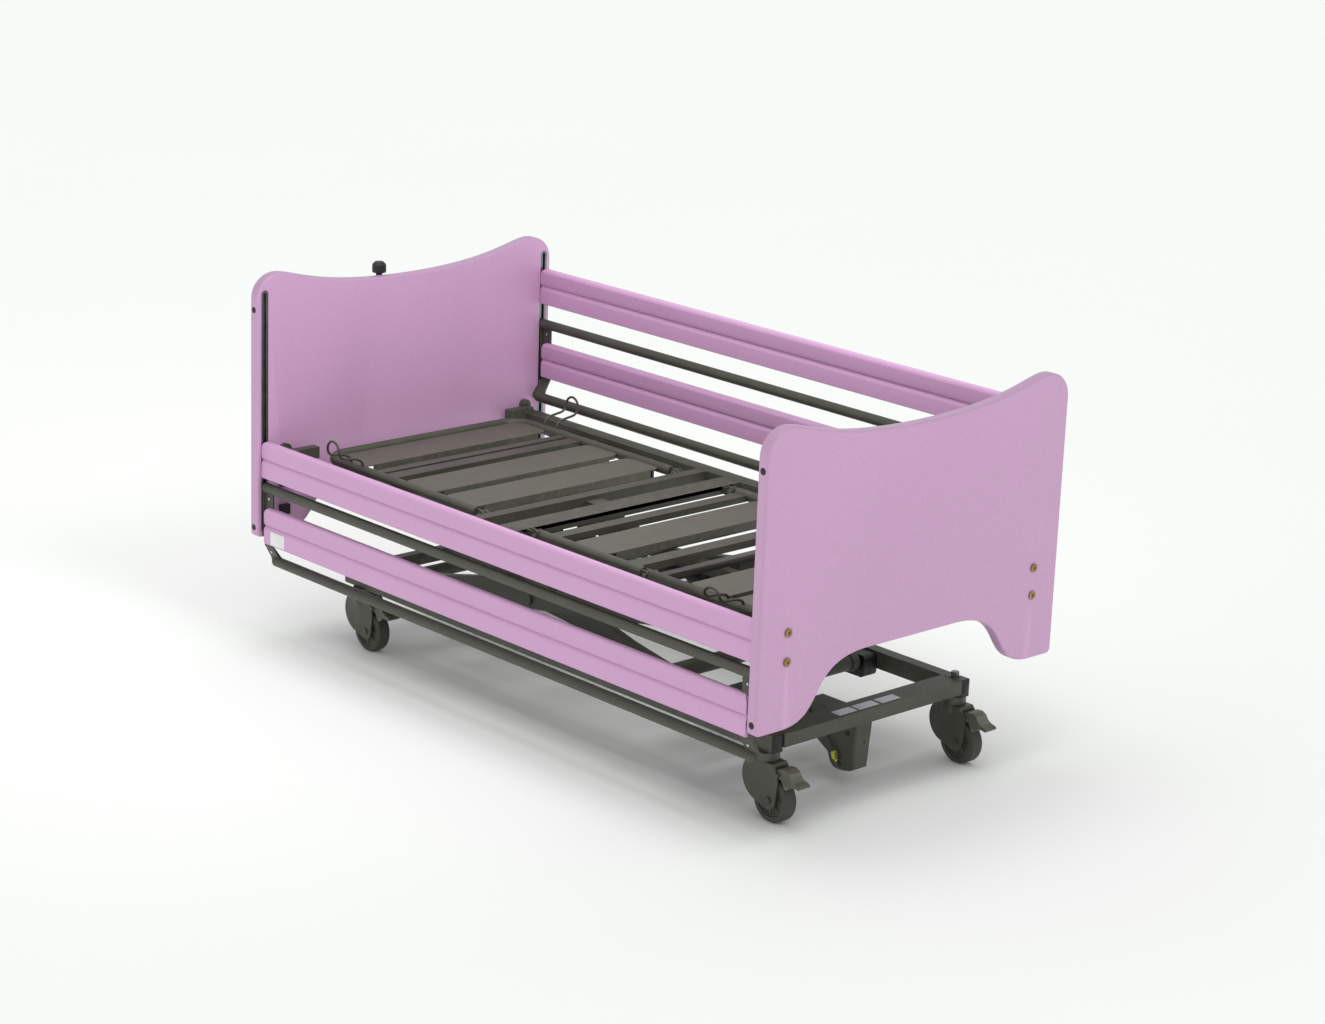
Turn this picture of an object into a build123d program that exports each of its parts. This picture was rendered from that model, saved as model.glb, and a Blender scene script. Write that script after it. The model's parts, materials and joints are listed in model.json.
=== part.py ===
"""Adjustable children's nursing bed: castor base, scissor lift, four-section slatted deck,
shaped head and foot boards and vertically sliding two-board side rails.

Millimetres, +Z up, +X towards the foot end, +Y towards the left side, floor at Z = 0.
Geometry is laid out about the middle of the two boards and shifted by X_SHIFT on export, so
that the origin is the floor point under the middle of the bounding box.
"""
from build123d import *
import math
import os

os.makedirs("parts", exist_ok=True)

# ---------------------------------------------------------------- driving dimensions
X_SHIFT = 15.40           # added to every x on export
# head and foot boards
BOARD_OUT = 870.0         # outer face
BOARD_T = 29.0
BOARD_IN = BOARD_OUT - BOARD_T
BOARD_MID = BOARD_OUT - BOARD_T / 2
BOARD_HALF_W = 450.0
BOLT_Y, BOLT_ZS, BOLT_R = 372.8, (394.4, 456.7), 4.0
# rail tracks
TRACK_Y = 428.85          # centre line
TRACK_Z0 = 262.0
TRACK_R = 10.0            # half width, and radius of the round top
TRACK_ARC_Z = 849.0 - TRACK_R
TRACK_DEPTH = 14.0
# side rails
RAIL_UP_TRAVEL = 318.0    # upper board
RAIL_LOW_TRAVEL = 290.0   # lower board and its steel frame
RAIL_UP_Z = 396.0         # lowered position of the upper board's bottom edge
RAIL_LOW_Z = 235.0        # lowered position of the lower board's bottom edge
# base and castors
BASE_Y = 287.0            # side tube centre
BASE_Z = 170.0
BASE_W, BASE_H = 30.0, 40.0
BASE_X0, BASE_X1 = -688.0, 770.0
STEM_X = {"foot": 742.0, "head": -631.0}
STEM_R = 6.05
SWIVEL_R = 8.0
TRAIL = 30.0
WHEEL_R = 50.0
# scissor lift
LIFT_X = 490.0            # fixed pivots
LIFT_ZB, LIFT_ZD = BASE_Z, 345.0      # pivot heights at the base and at the deck
LIFT_SPAN = 1130.0        # horizontal distance between arm ends when low
GLIDE_X = LIFT_X - LIFT_SPAN
CENTRE_X, CENTRE_Z = LIFT_X - LIFT_SPAN / 2, (LIFT_ZB + LIFT_ZD) / 2
PIVOT_R = 10.0
GLIDE_PIN_R = 8.0
CHANNEL_X, CHANNEL_L = -582.0, 160.0  # guide channels of the glides
CHANNEL_LIP_Z = 18.5      # channel lips above and below the glide centre
DRIVE_Z = 120.3           # lift drive axis
DRIVE_PIN_X = 722.0       # pin holding the drive in its bracket
# deck
DECK_TOP = 446.0
DECK_Z0 = 416.0
DECK_TUBE_W = 40.0
DECK_HALF_W = 390.0
DECK_Y = DECK_HALF_W - DECK_TUBE_W / 2
SEC_Y, SEC_Z, SEC_R = 299.0, 438.8, 12.5   # side tubes of the deck sections
SLAT_TOP = 443.0
SLAT_W = 114.0
BACK_X, THIGH_X, KNEE_X = -185.0, 8.0, 372.0   # section hinges
HINGE_R = 5.0
FIT = 0.06                # radial clearance of turning bores
OVERCUT = 0.01            # how far a cut starts outside the face

SIDES = (-1, 1)           # head and foot in x, right and left in y
CORNERS = [(sx, sy) for sx in SIDES for sy in SIDES]
STEMS = [(x, sy * BASE_Y) for x in STEM_X.values() for sy in SIDES]
ALONG_X, ALONG_Y, ALONG_Z = (0, 90, 0), (90, 0, 0), (0, 0, 0)   # cylinder rotations
CUT = Mode.SUBTRACT


# ---------------------------------------------------------------- helpers
def save(builder, name):
    """Moves the finished piece to its exported place, labels it and writes its STEP file."""
    part = builder.part.moved(Location((X_SHIFT, 0, 0)))
    part.label = name
    export_step(part, "parts/%s.step" % name)


def box(centre, size, mode=Mode.ADD):
    with Locations(centre):
        Box(*size, mode=mode)


def rod(direction, radius, length, *centres, mode=Mode.ADD):
    """The same cylinder at every centre, in one operation."""
    with Locations(*centres):
        Cylinder(radius, length, rotation=direction, mode=mode)


def xz_at(y):
    """Plane with x and z as its axes, facing -Y."""
    return Plane.XZ.offset(-y)


def side_plane(sy, inner_y, thickness):
    """Lowest-y face of a side plate; extrude by -thickness to fill the plate."""
    return xz_at(inner_y if sy > 0 else -inner_y - thickness)


def round_topped(y, z0, arc_z, radius):
    """Upright strip that ends in a semicircle centred at arc_z."""
    with Locations((y, (z0 + arc_z) / 2)):
        Rectangle(2 * radius, arc_z - z0)
    with Locations((y, arc_z)):
        Circle(radius)


def slot_between(x0, z0, x1, z1, width):
    """Round-ended link from one centre to the other."""
    with Locations(((x0 + x1) / 2, (z0 + z1) / 2)):
        SlotCenterToCenter(math.hypot(x1 - x0, z1 - z0), width,
                           rotation=math.degrees(math.atan2(z1 - z0, x1 - x0)))


def lever(start, pin, y):
    """Pair of plates from start (x, z) to pin (x, z), with a cross pin at the free end."""
    for gap in (-11, 11):
        with BuildSketch(xz_at(y + gap + 3)) as plate:
            slot_between(*start, *pin, 28)
        extrude(plate.sketch, amount=6, dir=(0, -1, 0))
    rod(ALONG_Y, 6, 28, (pin[0], y, pin[1]))


def drive_rod(name, y, pin_x, z, x_from, x_to, radius, head, slot):
    """Push rod with a slotted eye. head: width, height, corner radius; slot: pitch, width."""
    with BuildPart() as push_rod:
        rod(ALONG_X, radius, x_to - x_from, ((x_from + x_to) / 2, y, z))
        with BuildSketch(xz_at(y + 4)):
            with Locations((pin_x, z)):
                RectangleRounded(*head)
                SlotCenterToCenter(*slot, rotation=90, mode=CUT)
        extrude(amount=8)
    save(push_rod, name)


# ================================================================ head and foot boards
BOARD_BOTTOM = 247.5
BOARD_CORNER_R = 12.0
PLUG_ZS, PLUG_R = (270.9, 801.8), 7.5


def board_outline():
    """Rounded shoulders, dished top edge, and an arch cut out below, as (y, z)."""
    half_w, bottom, corner = BOARD_HALF_W, BOARD_BOTTOM, BOARD_CORNER_R
    inset = corner * (1 - math.sqrt(0.5))
    for m in SIDES[::-1]:
        Line((m * half_w, bottom + corner), (m * half_w, 828))
        Bezier((m * half_w, 828), (m * half_w, 860), (m * 421.8, 886), (m * 387, 886))
        Bezier((m * 387, 886), (m * 337, 886), (m * 270, 838.5), (0, 838.5))
        ThreePointArc((m * half_w, bottom + corner), (m * (half_w - inset), bottom + inset),
                      (m * (half_w - corner), bottom))
        Line((m * (half_w - corner), bottom), (m * 383, bottom))
        Bezier((m * 383, bottom), (m * 242, bottom), (m * 320, 377), (m * 130, 377))
    Line((-130, 377), (130, 377))


for board_name, sx in (("head_board", -1), ("foot_board", 1)):
    with BuildPart() as board:
        with BuildSketch(Plane.YZ.offset(sx * BOARD_OUT)):
            with BuildLine():
                board_outline()
            make_face()
        extrude(amount=-sx * BOARD_T)
        faces = board.faces().filter_by(Axis.X).sort_by(Axis.X)
        fillet(faces[0].edges() + faces[-1].edges(), 5)
        for sy in SIDES:
            # groove for the rail track, on the inner face
            with BuildSketch(Plane.YZ.offset(sx * (BOARD_IN - OVERCUT))):
                round_topped(sy * TRACK_Y, TRACK_Z0, TRACK_ARC_Z, TRACK_R)
            extrude(amount=sx * (TRACK_DEPTH + OVERCUT), mode=CUT)
            for z in BOLT_ZS:
                rod(ALONG_X, BOLT_R, BOARD_T + 2, (sx * BOARD_MID, sy * BOLT_Y, z), mode=CUT)
            # blind holes for the edge plugs
            for z in PLUG_ZS:
                rod(ALONG_Y, PLUG_R, 8.0, (sx * BOARD_MID, sy * 446, z), mode=CUT)
    save(board, board_name)

# aluminium rail tracks let into the boards (four): a channel with inturned lips
TRACK_LIP_T = 2.0
TRACK_FLOOR_Z = TRACK_Z0 + 3          # bottom of the hollow
with BuildPart() as board_tracks:
    for sx, sy in CORNERS:
        with BuildSketch(Plane.YZ.offset(sx * BOARD_IN)):
            round_topped(sy * TRACK_Y, TRACK_Z0, TRACK_ARC_Z, TRACK_R)
        extrude(amount=sx * TRACK_DEPTH)
        with BuildSketch(Plane.YZ.offset(sx * (BOARD_IN + TRACK_LIP_T))):
            round_topped(sy * TRACK_Y, TRACK_FLOOR_Z, TRACK_ARC_Z, 8)
        extrude(amount=sx * 10.5, mode=CUT)
        # mouth between the lips
        with BuildSketch(Plane.YZ.offset(sx * (BOARD_IN - OVERCUT))):
            round_topped(sy * TRACK_Y, TRACK_FLOOR_Z, TRACK_ARC_Z, 4)
        extrude(amount=sx * (TRACK_LIP_T + 2 * OVERCUT), mode=CUT)
save(board_tracks, "board_tracks")

# bolts holding the boards (eight): shank, round head and a round socket in it
with BuildPart() as board_bolts:
    for sx, sy in CORNERS:
        for z in BOLT_ZS:
            rod(ALONG_X, BOLT_R, 36, (sx * (BOARD_OUT - 18), sy * BOLT_Y, z))
            rod(ALONG_X, 9.5, 3.2, (sx * (BOARD_OUT + 1.6), sy * BOLT_Y, z))
            rod(ALONG_X, 3.4, 1.8, (sx * (BOARD_OUT + 2.4), sy * BOLT_Y, z), mode=CUT)
save(board_bolts, "board_bolts")

# round plugs in the board edges (eight) and stop blocks low on the inner faces (four)
with BuildPart() as edge_plugs:
    for sx, sy in CORNERS:
        for z in PLUG_ZS:
            rod(ALONG_Y, PLUG_R, 8.4, (sx * BOARD_MID, sy * 446.2, z))
        box((sx * (BOARD_IN - 5.5), sy * 374.5, 308), (11, 26, 24))
save(edge_plugs, "board_edge_plugs")

# accessory holder behind the head board: clip, stem and faceted pull knob
KNOB_X, KNOB_Y = -886.5, -58.0
KNOB_CLIP_Z = 815.0
KNOB_STEM_R = 4.0
KNOB_Z0 = 842.0
with BuildPart() as knob_bracket:
    box((-BOARD_OUT - 1.5, KNOB_Y, 800), (3, 30, 60))
    box((-882, KNOB_Y, KNOB_CLIP_Z), (22, 24, 10))
    rod(ALONG_Z, KNOB_STEM_R + 0.05, 14, (KNOB_X, KNOB_Y, KNOB_CLIP_Z), mode=CUT)
save(knob_bracket, "knob_bracket")
with BuildPart() as pull_knob:
    rod(ALONG_Z, KNOB_STEM_R, 36, (KNOB_X, KNOB_Y, 817))
    rod(ALONG_Z, 8.0, 14, (KNOB_X, KNOB_Y, KNOB_Z0 - 7))
    with BuildSketch(Plane.XY.offset(KNOB_Z0)):
        with Locations((KNOB_X, KNOB_Y)):
            RegularPolygon(17.5, 10)
    extrude(amount=26)
    chamfer(pull_knob.faces().sort_by(Axis.Z)[-1].edges(), 7)
save(pull_knob, "pull_knob")

# ================================================================ base frame
# Drive bracket under the foot cross tube: folded sheet, tapering downwards, open at the
# bottom and towards the head.
BRACKET_X0, BRACKET_X1, BRACKET_TOP = 575, 745, 163
# sections across the bed, as (y, z)
BRACKET_OUTER = [(-25, BRACKET_TOP), (25, BRACKET_TOP), (25, 140), (13.5, 30), (-25, 30)]
BRACKET_INNER = [(-22, 160), (22, 160), (22, 140), (10.2, 26), (-22, 26)]
# side outline and the relief in the +Y cheek, as (x, z)
CHEEK = [
    (BRACKET_X0, BRACKET_TOP), (BRACKET_X0, 116), (628, 85), (666, 64), (674, 44), (683, 35),
    (694, 32), (712, 33), (736, 38), (BRACKET_X1, 43), (BRACKET_X1, BRACKET_TOP),
]
CHEEK_RELIEF = [(570, 165), (614, 165), (614, 146), (690, 70), (690, 20), (570, 20)]

with BuildPart() as bracket:
    with BuildSketch(Plane.YZ.offset(BRACKET_X0)):
        Polygon(*BRACKET_OUTER, align=None)
    extrude(amount=BRACKET_X1 - BRACKET_X0)
    fillet(bracket.edges().filter_by(Axis.Z).filter_by(
        lambda e: e.center().X > 700 and e.center().Y < 0), 8)
    # hollow, leaving a 3 mm wall at the foot end
    with BuildSketch(Plane.YZ.offset(BRACKET_X0 - 1)):
        Polygon(*BRACKET_INNER, align=None)
    extrude(amount=168, mode=CUT)
    with BuildSketch(xz_at(30)) as side:
        Polygon(*CHEEK, align=None)
    extrude(side.sketch, amount=60, dir=(0, -1, 0), mode=Mode.INTERSECT)
    # the +Y cheek is cut back to clear the motor
    with BuildSketch(xz_at(30)) as clear:
        Polygon(*CHEEK_RELIEF, align=None)
    extrude(clear.sketch, amount=48, dir=(0, -1, 0), mode=CUT)

with BuildPart() as base_frame:
    for sy in SIDES:
        box(((BASE_X0 + BASE_X1) / 2, sy * BASE_Y, BASE_Z), (BASE_X1 - BASE_X0, BASE_W, BASE_H))
    # cross tubes
    for x, width in ((747.0, 60), (-676.0, 24)):
        box((x, 0, 175), (width, 2 * (BASE_Y - BASE_W / 2), 30))
    add(bracket.part)
    # top plate of the bracket, and the web joining it to the cross tube
    box((657, 0, 162), (124, 50, 4))
    box((731, 0, 160.5), (28, 50, 5))
    # bore through the side tube for each castor stem bolt
    for x, y in STEMS:
        rod(ALONG_Z, STEM_R, BASE_H + 4, (x, y, BASE_Z), mode=CUT)
    # pin hole of the drive and a small hole in the bracket's foot-end wall
    rod(ALONG_Y, 5.0, 60, (DRIVE_PIN_X, 0, DRIVE_Z), mode=CUT)
    rod(ALONG_X, 2.5, 8, (743.5, 4, 101), mode=CUT)
    # guide channels for the lower lift glides, on the inner faces of the side tubes
    for sy in SIDES:
        box((CHANNEL_X, sy * 270.5, LIFT_ZB), (CHANNEL_L, 3, 40))
        for lip_z in (LIFT_ZB - CHANNEL_LIP_Z, LIFT_ZB + CHANNEL_LIP_Z):
            box((CHANNEL_X, sy * 262.5, lip_z), (CHANNEL_L, 19, 3))
save(base_frame, "base_frame")

# tapered caps on the side tube ends (four)
CAP_T, CAP_TAPER = 2.5, 5.0
with BuildPart() as end_caps:
    for sy in SIDES:
        for sx, end_x in ((1, BASE_X1), (-1, BASE_X0)):
            with BuildSketch(Plane.YZ.offset(end_x)):
                with Locations((sy * BASE_Y, BASE_Z)):
                    Rectangle(BASE_W, BASE_H)
            extrude(amount=sx * CAP_T)
            with BuildSketch(Plane.YZ.offset(end_x + sx * CAP_T)):
                with Locations((sy * BASE_Y, BASE_Z)):
                    Rectangle(BASE_W - 2, BASE_H - 2)
            with BuildSketch(Plane.YZ.offset(end_x + sx * (CAP_T + CAP_TAPER))):
                with Locations((sy * BASE_Y, BASE_Z)):
                    Rectangle(10, 14)
            loft()
save(end_caps, "base_end_caps")

# castor stems: through-bolt, washer and hexagon head above; socket cap and swivel stub below
with BuildPart() as castor_stems:
    for x, y in STEMS:
        rod(ALONG_Z, STEM_R, BASE_H + 4, (x, y, BASE_Z))
        rod(ALONG_Z, 11, 2, (x, y, 191))
        with BuildSketch(Plane.XY.offset(192)):
            with Locations((x, y)):
                RegularPolygon(9.2, 6, rotation=30)
        extrude(amount=10)
        rod(ALONG_Z, 28, 18, (x, y, 141))
        rod(ALONG_Z, SWIVEL_R, 20, (x, y, 122))
save(castor_stems, "castor_stems")

# ================================================================ castors
# (x from the stem, z)
FORK_C, FORK_R = (3.0, 92.0), 52.0       # round housing over the wheel
AXLE_C, AXLE_BOSS_R = (TRAIL, WHEEL_R), 20.0
FORK_TOP = 131.0
FORK_W = 43.0
WELL_W = 35.0                            # gap between the cheeks
AXLE_R = 5.0
PEDAL_HINGE_X, PEDAL_HINGE_Z, PEDAL_PIN_R = 53.0, 112.0, 4.0
PEDAL_W = 33.0
WHEEL_HALF_W = 16.0
# pedal outline, (x from the stem, z)
PEDAL = [
    (44, 104), (43.5, 119), (56, 126.5), (72, 127.5), (83, 122), (90, 111), (99, 106),
    (111, 103), (115, 99), (112, 95), (99, 97), (90, 98), (84, 91), (76, 84.5), (70, 87),
    (66, 95), (61, 103),
]


def on_circle(centre, radius, degrees, x0):
    angle = math.radians(degrees)
    return (x0 + centre[0] + radius * math.cos(angle), centre[1] + radius * math.sin(angle))


def fork_outline(x0):
    """Outer hull of the housing circle and the axle boss, cut off level under the stem."""
    def housing(degrees):
        return on_circle(FORK_C, FORK_R, degrees, x0)

    def boss(degrees):
        return on_circle(AXLE_C, AXLE_BOSS_R, degrees, x0)

    dx, dz = AXLE_C[0] - FORK_C[0], AXLE_C[1] - FORK_C[1]
    line = math.degrees(math.atan2(dz, dx))
    spread = math.degrees(math.acos((FORK_R - AXLE_BOSS_R) / math.hypot(dx, dz)))
    # tangent points on the foot side and head side, and the end of the level top
    foot, head = line + spread, line - spread + 360
    top = math.degrees(math.asin((FORK_TOP - FORK_C[1]) / FORK_R))
    Line(boss(foot), housing(foot))
    ThreePointArc(housing(foot), housing((foot + top) / 2), housing(top))
    Line(housing(top), housing(180 - top))
    ThreePointArc(housing(180 - top), housing((180 - top + head) / 2), housing(head))
    Line(housing(head), boss(head))
    ThreePointArc(boss(head), boss(line), boss(foot))


castors = [(end + "_" + side, stem_x, sy * BASE_Y)
           for end, stem_x in STEM_X.items() for side, sy in (("right", -1), ("left", 1))]
for tag, stem_x, stem_y in castors:
    axle_at = (stem_x + TRAIL, stem_y, WHEEL_R)
    hinge_at = (stem_x + PEDAL_HINGE_X, stem_y, PEDAL_HINGE_Z)
    with BuildPart() as fork:
        with BuildSketch(xz_at(stem_y + FORK_W / 2)):
            with BuildLine():
                fork_outline(stem_x)
            make_face()
        extrude(amount=FORK_W)
        rod(ALONG_Z, 27, 20, (stem_x, stem_y, 121))
        # wheel well between the cheeks, and the pocket for the pedal
        rod(ALONG_Y, WHEEL_R + 4, WELL_W, axle_at, mode=CUT)
        box((stem_x + 10, stem_y, 46), (110, WELL_W, 64), mode=CUT)
        box((stem_x + 62, stem_y, 112), (40, WELL_W, 44), mode=CUT)
        rod(ALONG_Z, SWIVEL_R + 0.05, 22, (stem_x, stem_y, 121), mode=CUT)
        rod(ALONG_Y, AXLE_R, 60, axle_at, mode=CUT)
        rod(ALONG_Y, PEDAL_PIN_R, 60, hinge_at, mode=CUT)
    save(fork, "castor_fork_" + tag)
    # axle with its two heads, and the pedal hinge pin
    with BuildPart() as pins:
        rod(ALONG_Y, AXLE_R, 46, axle_at)
        for s in SIDES:
            rod(ALONG_Y, 8.0, 3.5, (stem_x + TRAIL, stem_y + s * 23.25, WHEEL_R))
        rod(ALONG_Y, PEDAL_PIN_R, 44, hinge_at)
    save(pins, "castor_pins_" + tag)
    with BuildPart() as wheel:
        with BuildSketch(xz_at(stem_y)):
            with Locations((stem_x + TRAIL, WHEEL_R)):
                Circle(WHEEL_R)
        extrude(amount=WHEEL_HALF_W, both=True)
        fillet(wheel.edges().filter_by(GeomType.CIRCLE), 5)
        # ring-shaped recess in each face
        for s in SIDES:
            with BuildSketch(xz_at(stem_y + s * WHEEL_HALF_W)):
                with Locations((stem_x + TRAIL, WHEEL_R)):
                    Circle(37)
                    Circle(14, mode=CUT)
            extrude(amount=s * 5, mode=CUT)
        rod(ALONG_Y, AXLE_R + FIT, 40, axle_at, mode=CUT)
    save(wheel, "castor_wheel_" + tag)
    with BuildPart() as pedal:
        with BuildSketch(xz_at(stem_y + PEDAL_W / 2)):
            with BuildLine():
                Polyline(*[(stem_x + x, z) for x, z in PEDAL], close=True)
            make_face()
        extrude(amount=PEDAL_W)
        fillet(pedal.edges().filter_by(Axis.Y), 1.4)
        rod(ALONG_Y, PEDAL_PIN_R + FIT, 40, hinge_at, mode=CUT)
    save(pedal, "brake_pedal_" + tag)

# ================================================================ scissor lift
# arm centre lines, (x, z)
INNER_ARM = [      # fixed to the base at the foot end
    (GLIDE_X, LIFT_ZD), (-470, 326), (-75, 257.5), (100, 243), (236, 211), (LIFT_X, LIFT_ZB),
]
OUTER_ARM = [(2 * CENTRE_X - x, z) for x, z in INNER_ARM]   # rises towards the foot end
ARM_W = 46.0
ARM_T = 20.0
INNER_ARM_Y, OUTER_ARM_Y = 206.0, 232.0     # arm faces nearest the middle
INNER_MID, OUTER_MID = INNER_ARM_Y + ARM_T / 2, OUTER_ARM_Y + ARM_T / 2
LEVER_L = 50.0
LEVER_ANGLE = math.radians(9.5475)          # from straight down, towards the foot
LIFT_PIN = (LIFT_X + LEVER_L * math.sin(LEVER_ANGLE),
            LIFT_ZB - LEVER_L * math.cos(LEVER_ANGLE))


def arm_outline(points):
    for start, end in zip(points, points[1:]):
        slot_between(*start, *end, ARM_W)


with BuildPart() as lift_arm_inner:
    for sy in SIDES:
        with BuildSketch(side_plane(sy, INNER_ARM_Y, ARM_T)):
            arm_outline(INNER_ARM)
        extrude(amount=-ARM_T)
    # cross tubes, the last on the pivot line
    rod(ALONG_Y, 19, 420, (350, 0, 190))
    rod(ALONG_Y, 17, 420, (-540, 0, 335))
    rod(ALONG_Y, 20, 420, (LIFT_X, 0, LIFT_ZB))
    # drive lever below the pivot tube
    lever((LIFT_X, LIFT_ZB), LIFT_PIN, 0)
    for sy in SIDES:
        rod(ALONG_Y, PIVOT_R, 24, (LIFT_X, sy * INNER_MID, LIFT_ZB),
            (CENTRE_X, sy * INNER_MID, CENTRE_Z), mode=CUT)
        rod(ALONG_Y, GLIDE_PIN_R, 24, (GLIDE_X, sy * INNER_MID, LIFT_ZD), mode=CUT)
save(lift_arm_inner, "lift_arm_inner")

with BuildPart() as lift_arm_outer:
    for sy in SIDES:
        with BuildSketch(side_plane(sy, OUTER_ARM_Y, ARM_T)):
            arm_outline(OUTER_ARM)
        extrude(amount=-ARM_T)
    # cross tubes
    rod(ALONG_Y, 15, 470, (420, 0, 334))
    rod(ALONG_Y, 16, 470, (-560, 0, 178))
    for sy in SIDES:
        rod(ALONG_Y, PIVOT_R + FIT, 24, (LIFT_X, sy * OUTER_MID, LIFT_ZD),
            (CENTRE_X, sy * OUTER_MID, CENTRE_Z), mode=CUT)
        rod(ALONG_Y, GLIDE_PIN_R, 24, (GLIDE_X, sy * OUTER_MID, LIFT_ZB), mode=CUT)
save(lift_arm_outer, "lift_arm_outer")

# pins fixed in the inner arms: foot pivots, and centre pivots with heads
with BuildPart() as arm_pins:
    for sy in SIDES:
        rod(ALONG_Y, PIVOT_R, 66, (LIFT_X, sy * 237, LIFT_ZB))
        rod(ALONG_Y, PIVOT_R, 54, (CENTRE_X, sy * 231, CENTRE_Z))
        rod(ALONG_Y, 15.0, 5, (CENTRE_X, sy * 255.5, CENTRE_Z))
save(arm_pins, "lift_arm_pins")

# glides at the head end: name, z, pin centre y, roller centre y, roller length
for name, z, pin_y, roller_y, roller_l in (("lift_glides_upper", LIFT_ZD, 217, 237, 18),
                                           ("lift_glides_lower", LIFT_ZB, 243, 261, 14)):
    with BuildPart() as glides:
        for sy in SIDES:
            rod(ALONG_Y, GLIDE_PIN_R, 22, (GLIDE_X, sy * pin_y, z))
            rod(ALONG_Y, 16.4, roller_l, (GLIDE_X, sy * roller_y, z))
    save(glides, name)

# bearing blocks of the foot pivots, against the side tubes
BEARING_T = 40.0
with BuildPart() as bearing_blocks:
    for sy in SIDES:
        with BuildSketch(side_plane(sy, OUTER_ARM_Y, BEARING_T)):
            with Locations((LIFT_X - 8, 160)):
                RectangleRounded(78, 52, 12)
        extrude(amount=-BEARING_T)
        rod(ALONG_Y, PIVOT_R + FIT, BEARING_T + 4,
            (LIFT_X, sy * (OUTER_ARM_Y + BEARING_T / 2), LIFT_ZB), mode=CUT)
save(bearing_blocks, "lift_bearing_blocks")

# lift drive: tube pinned in the bracket, motor across its head end, rod with a slotted eye
LIFT_ROD_R = 9.0
with BuildPart() as lift_motor:
    rod(ALONG_X, 15.5, 140, (660, 0, DRIVE_Z))
    rod(ALONG_Y, 5.0, 54, (DRIVE_PIN_X, 0, DRIVE_Z))
    box((586, 22, DRIVE_Z - 12), (44, 84, 44))
    fillet(lift_motor.edges().filter_by(Axis.Y).filter_by(lambda e: e.length > 60), 7)
    rod(ALONG_X, LIFT_ROD_R + 0.05, 180, (620, 0, DRIVE_Z), mode=CUT)
save(lift_motor, "lift_drive")
drive_rod("lift_drive_rod", y=0, pin_x=LIFT_PIN[0], z=DRIVE_Z, x_from=LIFT_PIN[0] + 18,
          x_to=680, radius=LIFT_ROD_R, head=(44, 34, 8), slot=(5, 16))


# ================================================================ section hinges
def clevis(hinge_x, root_x, sy, eye_r, drop=0):
    """Two eyes on straps reaching from root_x; the straps sit `drop` below the hinge."""
    for gap in (-6.5, 6.5):
        y = sy * (SEC_Y + gap)
        box(((hinge_x + root_x) / 2, y, SEC_Z - drop), (abs(root_x - hinge_x), 5, 18))
        rod(ALONG_Y, eye_r, 5, (hinge_x, y, SEC_Z))


def tongue(hinge_x, reach, sy, eye_r):
    """Single eye that fits between the eyes of a clevis; reach is signed along x."""
    box((hinge_x + reach / 2, sy * SEC_Y, SEC_Z), (abs(reach), 6, 18))
    rod(ALONG_Y, eye_r, 6, (hinge_x, sy * SEC_Y, SEC_Z))


def hinge_bore(hinge_x, sy, radius):
    rod(ALONG_Y, radius, 30, (hinge_x, sy * SEC_Y, SEC_Z), mode=CUT)


def hinge_pins(*hinge_xs):
    """Pins on both sides, with their heads towards the middle."""
    for sy in SIDES:
        for x in hinge_xs:
            rod(ALONG_Y, HINGE_R, 24, (x, sy * SEC_Y, SEC_Z))
            rod(ALONG_Y, 7.5, 4, (x, sy * (SEC_Y - 11), SEC_Z))


# ================================================================ deck frame
UPRIGHT_T = 12.0
UPRIGHT_X = BOARD_IN - UPRIGHT_T
LUG_Y, LUG_T = 254.0, 8.0
CROSS_TUBE_X = (-640, -520, 490, 660)

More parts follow.
